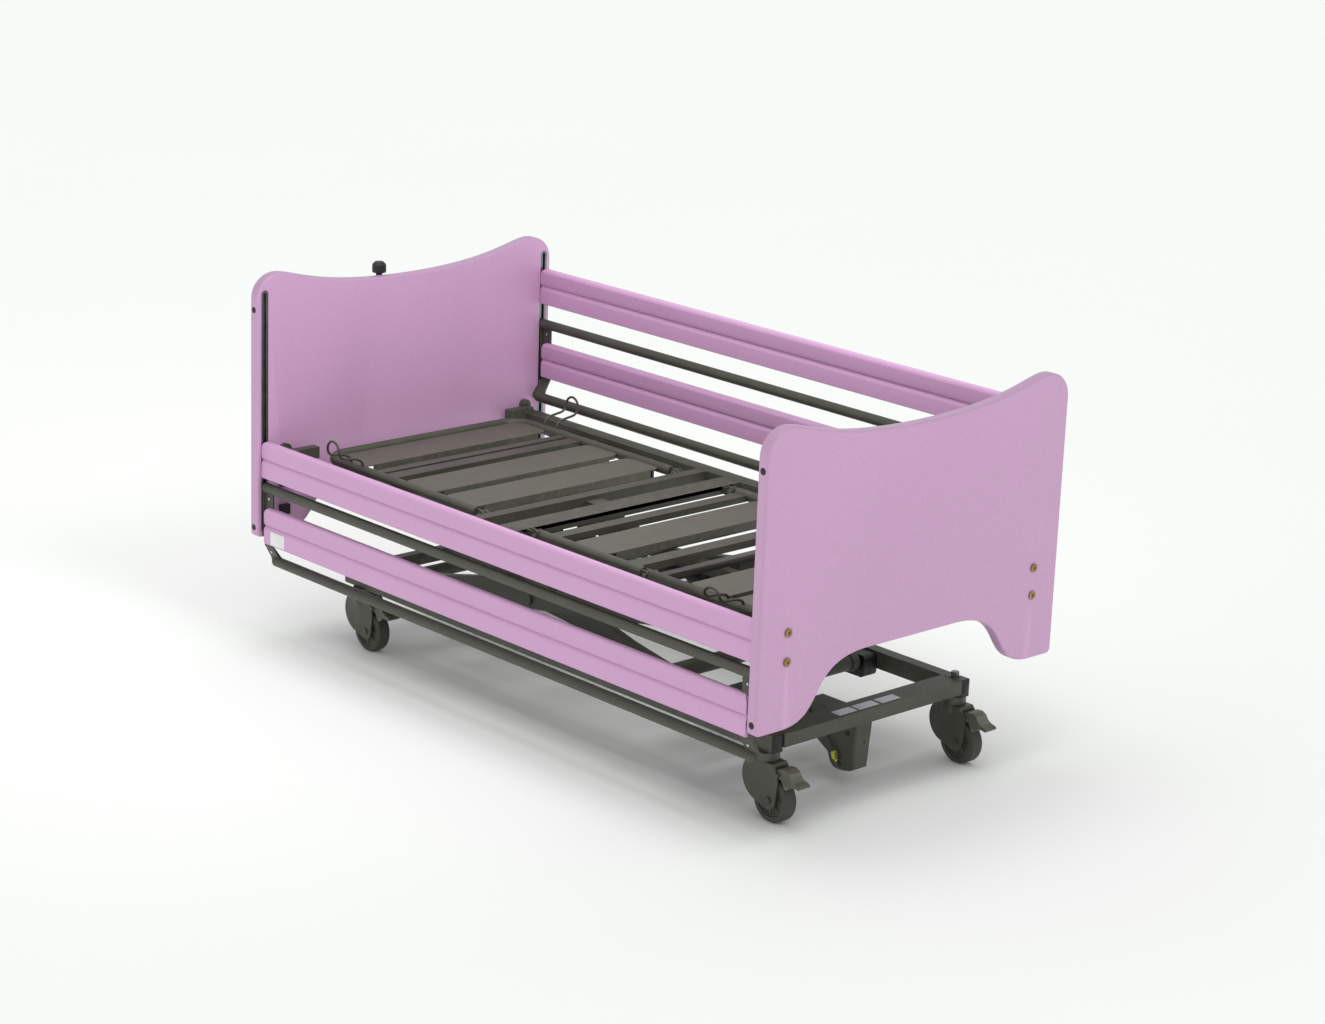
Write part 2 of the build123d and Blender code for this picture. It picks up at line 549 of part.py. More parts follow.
with BuildPart() as deck_frame:
    for sy in SIDES:
        box((0, sy * DECK_Y, (DECK_Z0 + DECK_TOP) / 2), (1606, DECK_TUBE_W, DECK_TOP - DECK_Z0))
        for sx in SIDES:
            # corner stub, and the upright that carries the board
            box((sx * 812, sy * 335, 445), (24, 74, 28))
            box((sx * 816, sy * DECK_Y, 431), (26, DECK_TUBE_W, 30))
            with BuildSketch(Plane.YZ.offset(sx * UPRIGHT_X)):
                round_topped(sy * BOLT_Y, 366, BOLT_ZS[1], 15)
            extrude(amount=sx * UPRIGHT_T)
    # seat cross tubes and the short centre member
    box((-153, 0, 434), (32, 710, 24))
    box((-49, 0, 436), (60, 710, 20))
    box((-108, -9, 429), (62, 45, 14))
    # cross tubes under the side members
    for x in CROSS_TUBE_X:
        box((x, 0, 401), (30, 2 * DECK_HALF_W, 30))
    # centre beam for the section drives, and its two hangers
    box((177.5, 0, 368), (655, 24, 24))
    box((-64, 0, 403), (30, 24, 50))
    box((490, 0, 383), (30, 24, 8))
    for sy in SIDES:
        # lift pivot lug at the foot end
        with BuildSketch(side_plane(sy, LUG_Y, LUG_T)):
            with Locations((LIFT_X, 362)):
                Rectangle(40, 50)
            with Locations((LIFT_X, LIFT_ZD)):
                Circle(20)
        extrude(amount=-LUG_T)
        rod(ALONG_Y, PIVOT_R, 12, (LIFT_X, sy * (LUG_Y + LUG_T / 2), LIFT_ZD), mode=CUT)
        # guide channel for the upper glide
        box((CHANNEL_X, sy * 248.5, 356), (CHANNEL_L, 3, 62))
        for lip_z in (LIFT_ZD - CHANNEL_LIP_Z, LIFT_ZD + CHANNEL_LIP_Z):
            box((CHANNEL_X, sy * 238.5, lip_z), (CHANNEL_L, 20, 3))
        # clevises of the back and thigh hinges
        for hinge_x, root_x in ((BACK_X, -166), (THIGH_X, -22)):
            clevis(hinge_x, root_x, sy, eye_r=11, drop=2)
            hinge_bore(hinge_x, sy, HINGE_R)
    # holes for the board bolts
    for sx, sy in CORNERS:
        for z in BOLT_ZS:
            rod(ALONG_X, BOLT_R, UPRIGHT_T + 2,
                (sx * (UPRIGHT_X + UPRIGHT_T / 2), sy * BOLT_Y, z), mode=CUT)
save(deck_frame, "deck_frame")

# headed pins joining the outer lift arms to the deck lugs
with BuildPart() as deck_pins:
    for sy in SIDES:
        rod(ALONG_Y, PIVOT_R, 36, (LIFT_X, sy * 247, LIFT_ZD))
        rod(ALONG_Y, 15.0, 5, (LIFT_X, sy * 264.5, LIFT_ZD))
save(deck_pins, "lift_deck_pins")

with BuildPart() as seat_pins:
    hinge_pins(BACK_X, THIGH_X)
save(seat_pins, "seat_hinge_pins")

with BuildPart() as control_box:
    box((645, 5, 343), (90, 90, 86))
    fillet(control_box.edges(), 8)
save(control_box, "control_box")

# ================================================================ deck sections
SLAT_T = 2.5
SLAT_END_RX, SLAT_END_RY = 33.0, 25.0     # rounded slat corners
SLAT_SHOULDER_Y = SEC_Y - 34
BOW_WIRE_R = 3.0
BOW_BASE_Z = 449.0
# bow leg above its foot: (x from the bow's middle, y, share of the rise)
BOW_LEG = [(22.5, 305, 0.20), (22.5, 320, 0.32), (22.5, 346, 0.38), (22.5, 364, 0.48),
           (22.5, 369.5, 0.66), (15.5, 370.3, 0.90)]


def slat(x1):
    """One pressed slat ending at x1: top plate with rounded ends, two downturned flanges."""
    x0 = x1 - SLAT_W
    xm = (x0 + x1) / 2
    with BuildSketch(Plane.XY.offset(SLAT_TOP)) as plate:
        with Locations((xm, 0)):
            Rectangle(SLAT_W, 2 * SLAT_SHOULDER_Y)
            Rectangle(SLAT_W - 2 * SLAT_END_RX, 2 * (SLAT_SHOULDER_Y + SLAT_END_RY))
            for sx, sy in CORNERS:
                with Locations((sx * (SLAT_W / 2 - SLAT_END_RX), sy * SLAT_SHOULDER_Y)):
                    Ellipse(SLAT_END_RX, SLAT_END_RY)
    extrude(plate.sketch, amount=-SLAT_T, dir=(0, 0, 1))
    for x in (x0 + SLAT_T / 2, x1 - SLAT_T / 2):
        box((x, 0, SLAT_TOP - 9.5), (SLAT_T, 2 * (SEC_Y - 44), 19))


def trim_at_tubes(x, length):
    """Stops the slat plates at the side tubes."""
    for sy in SIDES:
        rod(ALONG_X, SEC_R, length, (x, sy * SEC_Y, SEC_Z), mode=CUT)


def tube_u(x_open, x_end, r_bend=60.0):
    """Round tube bent to a U, open at x_open, closing at x_end."""
    s = 1 if x_end > x_open else -1
    with BuildLine() as run:
        Polyline((x_open, -SEC_Y, SEC_Z), (x_end, -SEC_Y, SEC_Z),
                 (x_end, SEC_Y, SEC_Z), (x_open, SEC_Y, SEC_Z))
        fillet(run.vertices().filter_by(lambda v: abs(v.X - x_end) < 1e-3), r_bend)
    start = Plane(origin=(x_open, -SEC_Y, SEC_Z), x_dir=(0, 1, 0), z_dir=(s, 0, 0))
    with BuildSketch(start) as section:
        Circle(SEC_R)
    sweep(section.sketch, path=run.line)


def bows(xc, top):
    """Wire mattress retainers, one each side: legs step outwards, a round-topped loop above."""
    rise = top - BOW_BASE_Z
    leg = [(22.5, SEC_Y, 448.0)] + [(x, y, BOW_BASE_Z + share * rise) for x, y, share in BOW_LEG]
    for sy in SIDES:
        with BuildLine() as wire:
            Spline(*[(xc - x, sy * y, z) for x, y, z in leg], (xc, sy * 370.5, top),
                   *[(xc + x, sy * y, z) for x, y, z in leg[::-1]])
        with BuildSketch(Plane(origin=wire.line @ 0, z_dir=wire.line % 0)) as section:
            Circle(BOW_WIRE_R)
        sweep(section.sketch, path=wire.line)


def section_rail(x, width, height):
    """Flat cross member between the side tubes, level with the slat tops."""
    box((x, 0, SLAT_TOP - height / 2), (width, 2 * SEC_Y, height))


def lever_tube(x, z):
    """Cross tube that carries a drive lever."""
    rod(ALONG_Y, 12, 2 * SEC_Y + 6, (x, 0, z))


def tube_hanger(x, sy):
    """Plate joining a lever tube to the side tube."""
    box((x, sy * SEC_Y, 418), (24, 6, 30))


# lever tubes and the drive pins at the free ends of their levers, (x, z)
BACK_TUBE, THIGH_TUBE = (-280, 404), (150, 404)
BACK_DRIVE_Y, THIGH_DRIVE_Y = 45, -45
BACK_PIN_R, BACK_PIN_ANGLE = math.hypot(75.8, 108.2), math.radians(-55)
BACK_PIN = (BACK_X + BACK_PIN_R * math.cos(BACK_PIN_ANGLE),
            SEC_Z + BACK_PIN_R * math.sin(BACK_PIN_ANGLE))
THIGH_PIN_R, THIGH_PIN_ANGLE = 115.0, math.radians(17.5)
THIGH_PIN = (THIGH_X - THIGH_PIN_R * math.sin(THIGH_PIN_ANGLE),
             SEC_Z - THIGH_PIN_R * math.cos(THIGH_PIN_ANGLE))

with BuildPart() as backrest_frame:
    tube_u(BACK_X - 18, -777)
    section_rail(-543, 40, 20)
    section_rail(-588, 26, 6)
    lever_tube(*BACK_TUBE)
    for sy in SIDES:
        tube_hanger(BACK_TUBE[0], sy)
        tongue(BACK_X, -32, sy, eye_r=10)
        hinge_bore(BACK_X, sy, HINGE_R + FIT)
    lever(BACK_TUBE, BACK_PIN, BACK_DRIVE_Y)
    bows(-650, 516)
save(backrest_frame, "backrest_frame")

with BuildPart() as backrest_slats:
    for x1 in (-643, -377, -229):
        slat(x1)
    trim_at_tubes(-480, 560)
save(backrest_slats, "backrest_slats")

THIGH_TUBE_X0, THIGH_TUBE_X1 = THIGH_X + 18, KNEE_X - 14
with BuildPart() as thigh_frame:
    for sy in SIDES:
        rod(ALONG_X, SEC_R, THIGH_TUBE_X1 - THIGH_TUBE_X0,
            ((THIGH_TUBE_X0 + THIGH_TUBE_X1) / 2, sy * SEC_Y, SEC_Z))
        tongue(THIGH_X, 32, sy, eye_r=10)
        clevis(KNEE_X, KNEE_X - 26, sy, eye_r=9)
        tube_hanger(THIGH_TUBE[0], sy)
    section_rail(48, 34, 15)
    section_rail(307, 40, 17)
    lever_tube(*THIGH_TUBE)
    lever(THIGH_TUBE, THIGH_PIN, THIGH_DRIVE_Y)
    for sy in SIDES:
        hinge_bore(THIGH_X, sy, HINGE_R + FIT)
        hinge_bore(KNEE_X, sy, HINGE_R)
save(thigh_frame, "thigh_frame")

with BuildPart() as thigh_slats:
    slat(222)
    trim_at_tubes(165, 200)
save(thigh_slats, "thigh_slat")

with BuildPart() as knee_pins:
    hinge_pins(KNEE_X)
save(knee_pins, "knee_hinge_pins")

STOP_X, STOP_Y, STOP_R, STOP_L = 456, 284, 4.0, 24     # shank of the stop bolts
with BuildPart() as leg_frame:
    tube_u(KNEE_X + 14, 777)
    section_rail(398, 22, 15)
    bows(643, 492)
    for sy in SIDES:
        tongue(KNEE_X, 28, sy, eye_r=9)
        hinge_bore(KNEE_X, sy, HINGE_R + FIT)
        rod(ALONG_Y, STOP_R, STOP_L, (STOP_X, sy * STOP_Y, SEC_Z), mode=CUT)
save(leg_frame, "leg_frame")

with BuildPart() as leg_slats:
    for x1 in (594, 728):
        slat(x1)
    trim_at_tubes(600, 400)
save(leg_slats, "leg_slats")

# stop bolts on the inner side of the leg tubes
with BuildPart() as leg_bolts:
    for sy in SIDES:
        rod(ALONG_Y, STOP_R, STOP_L, (STOP_X, sy * STOP_Y, SEC_Z))
        rod(ALONG_Y, 6.5, 16, (STOP_X, sy * 277, SEC_Z))
save(leg_bolts, "leg_stop_bolts")

# ---------------------------------------------------------------- section drives
BACK_ROD_Z = 318.0
THIGH_ROD_Z = 326.0
SECTION_ROD_R = 10.0
MOTOR_L = 76


def section_drive(name, y, z, tube, motor_x, lug, bore):
    """Tube, motor block and lug to the centre beam.

    tube and bore: centre x and length; lug: centre x, centre z and height.
    """
    side = math.copysign(1, y)
    with BuildPart() as drive:
        rod(ALONG_X, 21, tube[1], (tube[0], y, z))
        box((motor_x, side * 54, z), (MOTOR_L, 84, 46))
        fillet(drive.edges().filter_by(Axis.X).filter_by(
            lambda e: abs(e.length - MOTOR_L) < 1), 8)
        box((lug[0], side * 28, lug[1]), (30, 32, lug[2]))
        rod(ALONG_X, SECTION_ROD_R + 0.05, bore[1], (bore[0], y, z), mode=CUT)
    save(drive, name)


section_drive("back_drive", BACK_DRIVE_Y, BACK_ROD_Z, tube=(185, 250), motor_x=262,
              lug=(285, 349, 62), bore=(120, 262))
drive_rod("back_drive_rod", y=BACK_DRIVE_Y, pin_x=BACK_PIN[0], z=BACK_ROD_Z,
          x_from=BACK_PIN[0] + 20, x_to=235, radius=SECTION_ROD_R,
          head=(48, 66, 10), slot=(30, 19))
section_drive("leg_drive", THIGH_DRIVE_Y, THIGH_ROD_Z, tube=(-215, 190), motor_x=-272,
              lug=(-135, 353, 54), bore=(-170, 202))
drive_rod("leg_drive_rod", y=THIGH_DRIVE_Y, pin_x=THIGH_PIN[0], z=THIGH_ROD_Z,
          x_from=-240, x_to=THIGH_PIN[0] - 18, radius=SECTION_ROD_R,
          head=(46, 44, 10), slot=(12, 17))

# ================================================================ side rails
# half profile of a board below and above the cove, (distance from mid-plane, height)
LOWER_HALF = [(11, 2), (11, 34), (10.4, 37.5), (8.4, 41.5), (5.6, 45.5)]
UPPER_HALF = [(5.6, 45.5), (8.4, 47.4), (10.4, 52), (11, 60), (11, 79)]
# rounded upper corner of a board, (distance from its end, height)
END_CORNER = [(0, 76), (5, 86), (14, 91)]
UPPER_HALF_L, LOWER_HALF_L = 839, 829
SCREW_R = 3.4
UPPER_SCREWS, LOWER_SCREWS = (30, 60), (39, 69)   # heights above each board's bottom edge
GLIDE_BODY_X = BOARD_IN + 7.2
GLIDE_T, GLIDE_W = 9.6, 15.2
STRAP_X0, STRAP_W = 805, 33
MID_SCREW_X, MID_SCREW_L = 832.7, 22


def rail_board(sy, z0, half_len):
    """Profiled board: rounded top, cove groove on both faces, rounded end corners."""
    yc = sy * TRACK_Y
    with BuildSketch(Plane.YZ.offset(-half_len)) as profile:
        with BuildLine():
            Line((yc - 9, z0), (yc + 9, z0))
            Polyline((yc + 9, z0), *[(yc + u, z0 + v) for u, v in LOWER_HALF])
            Spline(*[(yc + u, z0 + v) for u, v in UPPER_HALF[:3]])
            Polyline(*[(yc + u, z0 + v) for u, v in UPPER_HALF[2:]])
            ThreePointArc((yc + 11, z0 + 79), (yc, z0 + 90), (yc - 11, z0 + 79))
            Polyline(*[(yc - u, z0 + v) for u, v in UPPER_HALF[:1:-1]])
            Spline(*[(yc - u, z0 + v) for u, v in UPPER_HALF[2::-1]])
            Polyline(*[(yc - u, z0 + v) for u, v in LOWER_HALF[::-1]], (yc - 9, z0))
        make_face()
    extrude(profile.sketch, amount=2 * half_len, dir=(1, 0, 0))
    with BuildSketch(xz_at(yc + 15)) as ends:
        with BuildLine():
            Polyline((-half_len, z0), (half_len, z0),
                     *[(half_len - u, z0 + v) for u, v in END_CORNER],
                     *[(-half_len + u, z0 + v) for u, v in END_CORNER[::-1]], close=True)
        make_face()
    extrude(ends.sketch, amount=30, dir=(0, -1, 0), mode=Mode.INTERSECT)


# the right rail is lowered and the left rail raised
for side, sy, up, low in (("right", -1, 0.0, 0.0),
                          ("left", 1, RAIL_UP_TRAVEL, RAIL_LOW_TRAVEL)):
    prefix = "rail_%s_" % side
    zu, zl = RAIL_UP_Z + up, RAIL_LOW_Z + low
    yc = sy * TRACK_Y
    mid_z = zl + 136       # mid tube centre
    bottom_z = zl - 49     # bottom tube centre
    bottom_y = sy * 407

    with BuildPart() as upper:
        rail_board(sy, zu, UPPER_HALF_L)
        for sx in SIDES:
            rod(ALONG_X, SCREW_R, 24, *[(sx * 832, yc, zu + h) for h in UPPER_SCREWS], mode=CUT)
    save(upper, prefix + "upper_board")

    with BuildPart() as upper_glides:
        for sx in SIDES:
            box((sx * GLIDE_BODY_X, yc, zu + 45), (GLIDE_T, GLIDE_W, 56))
            rod(ALONG_X, SCREW_R, 22, *[(sx * 832.7, yc, zu + h) for h in UPPER_SCREWS])
    save(upper_glides, prefix + "upper_glides")

    with BuildPart() as lower:
        rail_board(sy, zl, LOWER_HALF_L)
        # slots for the frame straps
        for sx in SIDES:
            box((sx * 820, yc, zl + 45), (34, 4.1, 100), mode=CUT)
    save(lower, prefix + "lower_board")

    with BuildPart() as frame:
        rod(ALONG_X, 12, 1676, (0, yc, mid_z))
        rod(ALONG_X, 12.5, 1642, (0, bottom_y, bottom_z))
        for sx in SIDES:
            with Locations((sx * 821, bottom_y, bottom_z)):
                Sphere(12.5)
            # flat strap in the middle plane of the boards, bent inwards below them to meet
            # the bottom tube
            box((sx * (STRAP_X0 + STRAP_W / 2), yc, (zl - 8 + mid_z) / 2),
                (STRAP_W, 4, mid_z - zl + 8))
            with BuildSketch(Plane.YZ.offset(STRAP_X0 if sx > 0 else -STRAP_X0 - STRAP_W)) as bend:
                with BuildLine():
                    Polyline((sy * 430.85, zl - 6), (sy * 426.85, zl - 6),
                             (sy * 401, bottom_z + 8), (sy * 401, bottom_z - 4),
                             (sy * 409, bottom_z - 4), (sy * 412, bottom_z + 9), close=True)
                make_face()
            extrude(bend.sketch, amount=STRAP_W, dir=(1, 0, 0))
            # end plate behind the glides, and the screw holes
            box((sx * 837.25, yc, (zl + 15 + mid_z) / 2), (3.5, 15, mid_z - zl - 15))
            rod(ALONG_X, SCREW_R, 12, *[(sx * 837, yc, zl + h) for h in LOWER_SCREWS], mode=CUT)
            rod(ALONG_X, SCREW_R, MID_SCREW_L, (sx * MID_SCREW_X, yc, mid_z), mode=CUT)
    save(frame, prefix + "frame")

    with BuildPart() as lower_glides:
        for sx in SIDES:
            box((sx * GLIDE_BODY_X, yc, zl + 54), (GLIDE_T, GLIDE_W, 42))
            box((sx * GLIDE_BODY_X, yc, mid_z), (GLIDE_T, GLIDE_W, 26))
            rod(ALONG_X, SCREW_R, 8.7, *[(sx * 839.35, yc, zl + h) for h in LOWER_SCREWS])
            rod(ALONG_X, SCREW_R, MID_SCREW_L, (sx * MID_SCREW_X, yc, mid_z))
    save(lower_glides, prefix + "lower_glides")
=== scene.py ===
import bpy, bmesh, json, math
from mathutils import Vector, Matrix

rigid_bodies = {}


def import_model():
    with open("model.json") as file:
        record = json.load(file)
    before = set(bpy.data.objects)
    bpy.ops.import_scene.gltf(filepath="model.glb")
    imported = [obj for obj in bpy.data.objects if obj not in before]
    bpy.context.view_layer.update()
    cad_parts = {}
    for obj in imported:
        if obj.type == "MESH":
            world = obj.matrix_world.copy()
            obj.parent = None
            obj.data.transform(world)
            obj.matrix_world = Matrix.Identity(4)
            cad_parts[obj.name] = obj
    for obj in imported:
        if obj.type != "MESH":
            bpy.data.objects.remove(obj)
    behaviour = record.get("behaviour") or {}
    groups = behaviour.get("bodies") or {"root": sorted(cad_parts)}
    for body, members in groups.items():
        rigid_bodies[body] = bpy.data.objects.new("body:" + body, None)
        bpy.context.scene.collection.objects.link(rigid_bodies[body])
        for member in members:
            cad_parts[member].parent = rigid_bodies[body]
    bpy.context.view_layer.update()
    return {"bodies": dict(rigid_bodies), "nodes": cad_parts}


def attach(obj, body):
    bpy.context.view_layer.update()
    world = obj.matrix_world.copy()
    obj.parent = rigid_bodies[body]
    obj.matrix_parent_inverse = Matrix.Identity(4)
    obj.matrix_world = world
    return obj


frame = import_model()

SX = 15.40          # shift of the bed's board middle from the row origin, mm
NODES, BODIES = frame["nodes"], frame["bodies"]


def P(x, y, z):
    """millimetres from the middle of the boards -> metres in the row frame"""
    return Vector(((x + SX) / 1000, y / 1000, z / 1000))


# ------------------------------------------------------------------ materials
def new_mat(name):
    m = bpy.data.materials.new(name)
    m.use_nodes = True
    nt = m.node_tree
    nt.nodes.clear()
    out = nt.nodes.new("ShaderNodeOutputMaterial")
    b = nt.nodes.new("ShaderNodeBsdfPrincipled")
    nt.links.new(b.outputs[0], out.inputs[0])
    return m, nt, b


def coords(nt, scale=(1, 1, 1)):
    tc = nt.nodes.new("ShaderNodeTexCoord")
    mp = nt.nodes.new("ShaderNodeMapping")
    mp.inputs["Scale"].default_value = scale
    nt.links.new(tc.outputs["Object"], mp.inputs[0])
    return mp.outputs[0]


def noise(nt, vec, scale, detail=3.0, rough=0.55):
    n = nt.nodes.new("ShaderNodeTexNoise")
    n.inputs["Scale"].default_value = scale
    n.inputs["Detail"].default_value = detail
    n.inputs["Roughness"].default_value = rough
    nt.links.new(vec, n.inputs["Vector"])
    return n.outputs["Fac"]


def ramp(nt, fac, stops):
    r = nt.nodes.new("ShaderNodeValToRGB")
    e = r.color_ramp.elements
    while len(e) < len(stops):
        e.new(0.5)
    for el, (p, c) in zip(e, stops):
        el.position = p
        el.color = (*c, 1) if len(c) == 3 else c
    nt.links.new(fac, r.inputs[0])
    return r.outputs[0]


def rng(nt, fac, a, b, lo=0.0, hi=1.0):
    m = nt.nodes.new("ShaderNodeMapRange")
    m.inputs["From Min"].default_value = lo
    m.inputs["From Max"].default_value = hi
    m.inputs["To Min"].default_value = a
    m.inputs["To Max"].default_value = b
    nt.links.new(fac, m.inputs["Value"])
    return m.outputs[0]


def mix(nt, fac, a, b, mode="MIX"):
    m = nt.nodes.new("ShaderNodeMix")
    m.data_type = "RGBA"
    m.blend_type = mode
    for sock, v in ((m.inputs["Factor"], fac), (m.inputs["A"], a), (m.inputs["B"], b)):
        if isinstance(v, (int, float)):
            sock.default_value = v
        elif isinstance(v, tuple):
            sock.default_value = (*v, 1)
        else:
            nt.links.new(v, sock)
    return m.outputs["Result"]


def bump(nt, height, strength, distance, prev=None):
    b = nt.nodes.new("ShaderNodeBump")
    b.inputs["Strength"].default_value = strength
    b.inputs["Distance"].default_value = distance
    nt.links.new(height, b.inputs["Height"])
    if prev is not None:
        nt.links.new(prev, b.inputs["Normal"])
    return b.outputs[0]


def edge_mask(nt, lo, hi):
    g = nt.nodes.new("ShaderNodeNewGeometry")
    return rng(nt, g.outputs["Pointiness"], 0.0, 1.0, lo, hi)


def lin(r, g, b):
    f = lambda c: (c / 255) / 12.92 if c <= 10 else (((c / 255) + 0.055) / 1.055) ** 2.4
    return (f(r), f(g), f(b))


def laminate(name, dark, light, facing_darken=0.0):
    """Pink melamine panel: faint cloudy print, fine speckle and a fine orange-peel surface; painted highlight on the
    rounded edges; faces turned up are darkened, faces turned sideways less so.
    """
    m, nt, b = new_mat(name)
    v = coords(nt)
    cloud = noise(nt, v, 2.2, 2)
    fine = noise(nt, v, 520, 3, 0.7)
    base = ramp(nt, cloud, [(0.25, dark), (0.75, light)])
    speck = ramp(nt, fine, [(0.34, (0.86, 0.85, 0.86)), (0.64, (1.04, 1.04, 1.04))])
    col = mix(nt, 1.0, base, speck, "MULTIPLY")
    # painted highlight: the rounded convex edges of the panel are lightened and made pinker
    edge_lightening = edge_mask(nt, 0.52, 0.60)
    col = mix(nt, rng(nt, edge_lightening, 0.0, 0.25), col, (min(1, light[0] * 1.35), light[1] * 1.4, min(1, light[2] * 1.35)))
    # faces turned up are darkened towards 0.45 of the dark tone, faces turned sideways (along Y) less so
    if facing_darken:
        sep = nt.nodes.new("ShaderNodeSeparateXYZ")
        nt.links.new(nt.nodes.new("ShaderNodeNewGeometry").outputs["True Normal"], sep.inputs[0])
        up = rng(nt, sep.outputs["Z"], 0.0, facing_darken, 0.05, 0.9)
        side = nt.nodes.new("ShaderNodeMath")
        side.operation = "ABSOLUTE"
        nt.links.new(sep.outputs["Y"], side.inputs[0])
        both = nt.nodes.new("ShaderNodeMath")
        both.operation = "ADD"
        nt.links.new(up, both.inputs[0])
        nt.links.new(rng(nt, side.outputs[0], 0.0, facing_darken * 0.30, 0.5, 0.95), both.inputs[1])
        col = mix(nt, both.outputs[0], col, (dark[0] * 0.45, dark[1] * 0.50, dark[2] * 0.47))
    nt.links.new(col, b.inputs["Base Color"])
    nt.links.new(rng(nt, noise(nt, v, 30, 3), 0.36, 0.50), b.inputs["Roughness"])
    b.inputs["Coat Weight"].default_value = 0.12
    b.inputs["Coat Roughness"].default_value = 0.35
    b.inputs["IOR"].default_value = 1.47
    n1 = bump(nt, noise(nt, v, 1500, 2), 0.12, 0.00015)
    nt.links.new(bump(nt, noise(nt, v, 160, 2), 0.10, 0.0004, n1), b.inputs["Normal"])
    return m


def powder(name, dark, light, rough=(0.42, 0.56), wearcol=(0.30, 0.30, 0.27)):
    """Textured powder coat on steel, rubbed slightly lighter along its edges."""
    m, nt, b = new_mat(name)
    v = coords(nt)
    col = ramp(nt, noise(nt, v, 14, 4), [(0.35, dark), (0.68, light)])
    sp = ramp(nt, noise(nt, v, 900, 1), [(0.38, (0.80, 0.80, 0.80)), (0.62, (1.08, 1.08, 1.08))])
    col = mix(nt, 1.0, col, sp, "MULTIPLY")
    scuff = rng(nt, noise(nt, v, 55, 5, 0.7), 0.0, 1.0, 0.45, 0.75)
    edge_lightening = nt.nodes.new("ShaderNodeMath")
    edge_lightening.operation = "MULTIPLY"
    nt.links.new(edge_mask(nt, 0.53, 0.62), edge_lightening.inputs[0])
    nt.links.new(scuff, edge_lightening.inputs[1])
    col = mix(nt, rng(nt, edge_lightening.outputs[0], 0.0, 0.24), col, wearcol)
    nt.links.new(col, b.inputs["Base Color"])
    nt.links.new(rng(nt, noise(nt, v, 45, 3), rough[0], rough[1]), b.inputs["Roughness"])
    n1 = bump(nt, noise(nt, v, 1100, 2), 0.30, 0.00022)
    nt.links.new(bump(nt, noise(nt, v, 260, 2), 0.18, 0.0004, n1), b.inputs["Normal"])
    return m


def plastic(name, col0, col1, rough=(0.38, 0.5), grain=1800, strength=0.25):
    m, nt, b = new_mat(name)
    v = coords(nt)
    col = ramp(nt, noise(nt, v, 25, 3), [(0.35, col0), (0.7, col1)])
    # convex edges are lightened towards 2.6 times the light tone
    edge_lightening = edge_mask(nt, 0.53, 0.64)
    col = mix(nt, rng(nt, edge_lightening, 0.0, 0.30), col, tuple(min(1, c * 2.6 + 0.01) for c in col1))
    nt.links.new(col, b.inputs["Base Color"])
    nt.links.new(rng(nt, noise(nt, v, 60, 3), rough[0], rough[1]), b.inputs["Roughness"])
    nt.links.new(bump(nt, noise(nt, v, grain, 2), strength, 0.0002), b.inputs["Normal"])
    return m


def metal(name, col0, col1, rough=(0.24, 0.38), stretch=(1, 1, 1), scale=600, strength=0.12):
    m, nt, b = new_mat(name)
    v = coords(nt)
    s = coords(nt, stretch)
    nt.links.new(ramp(nt, noise(nt, v, 40, 4), [(0.3, col0), (0.7, col1)]), b.inputs["Base Color"])
    b.inputs["Metallic"].default_value = 1.0
    nt.links.new(rng(nt, noise(nt, v, 90, 4), rough[0], rough[1]), b.inputs["Roughness"])
    nt.links.new(bump(nt, noise(nt, s, scale, 2), strength, 0.00015), b.inputs["Normal"])
    return m


PINK = laminate("panel_pink", lin(213, 167, 207), lin(217, 171, 211), 0.62)
# rail_pink is the panel pink made a little darker: painted shade on the rails
PINK_RAIL = laminate("rail_pink", lin(211, 163, 205), lin(215, 167, 209))
FRAME = powder("frame_powder_coat", lin(70, 71, 60), lin(77, 78, 66))
DARKZINC = metal("dull_zinc", (0.14, 0.14, 0.15), (0.24, 0.24, 0.25), (0.30, 0.46))
SLAT = powder("slat_powder_coat", lin(89, 90, 77), lin(94, 95, 81), (0.40, 0.52), (0.36, 0.35, 0.31))
BLACK = plastic("black_moulded_plastic", (0.006, 0.006, 0.0065), (0.011, 0.011, 0.0115), (0.46, 0.58))
CASTOR = plastic("castor_housing", lin(64, 65, 55), lin(74, 75, 64), (0.34, 0.46), 1300, 0.3)
PEDAL = plastic("pedal_plastic", lin(74, 74, 64), lin(90, 90, 78), (0.36, 0.5), 1300, 0.3)
RUBBER = plastic("wheel_tread", lin(58, 58, 52), lin(72, 72, 64), (0.62, 0.78), 900, 0.5)
ZINC = metal("zinc_plate", (0.50, 0.51, 0.52), (0.68, 0.68, 0.66), (0.22, 0.40))
BRASS = metal("passivated_screw", (0.26, 0.17, 0.075), (0.40, 0.28, 0.13), (0.26, 0.40))
ALU = metal("anodised_track", (0.20, 0.21, 0.22), (0.28, 0.29, 0.30), (0.30, 0.44), (60, 60, 1), 30, 0.2)
STEEL = metal("ground_rod", (0.52, 0.53, 0.54), (0.66, 0.66, 0.66), (0.14, 0.24), (1, 60, 60), 20, 0.1)
LABEL = plastic("label_film", lin(176, 176, 190), lin(186, 186, 199), (0.30, 0.38), 2500, 0.05)
LABEL_W = plastic("label_film_white", lin(225, 226, 229), lin(236, 237, 240), (0.30, 0.38), 2500, 0.05)
YELLOW = plastic("earth_yellow", lin(196, 186, 40), lin(214, 202, 60), (0.35, 0.45), 1500, 0.15)
GREEN = plastic("earth_green", lin(60, 110, 50), lin(70, 124, 60), (0.35, 0.45), 1500, 0.15)
CABLE = plastic("cable_sheath", (0.020, 0.020, 0.021), (0.032, 0.032, 0.033), (0.40, 0.52), 1200, 0.2)


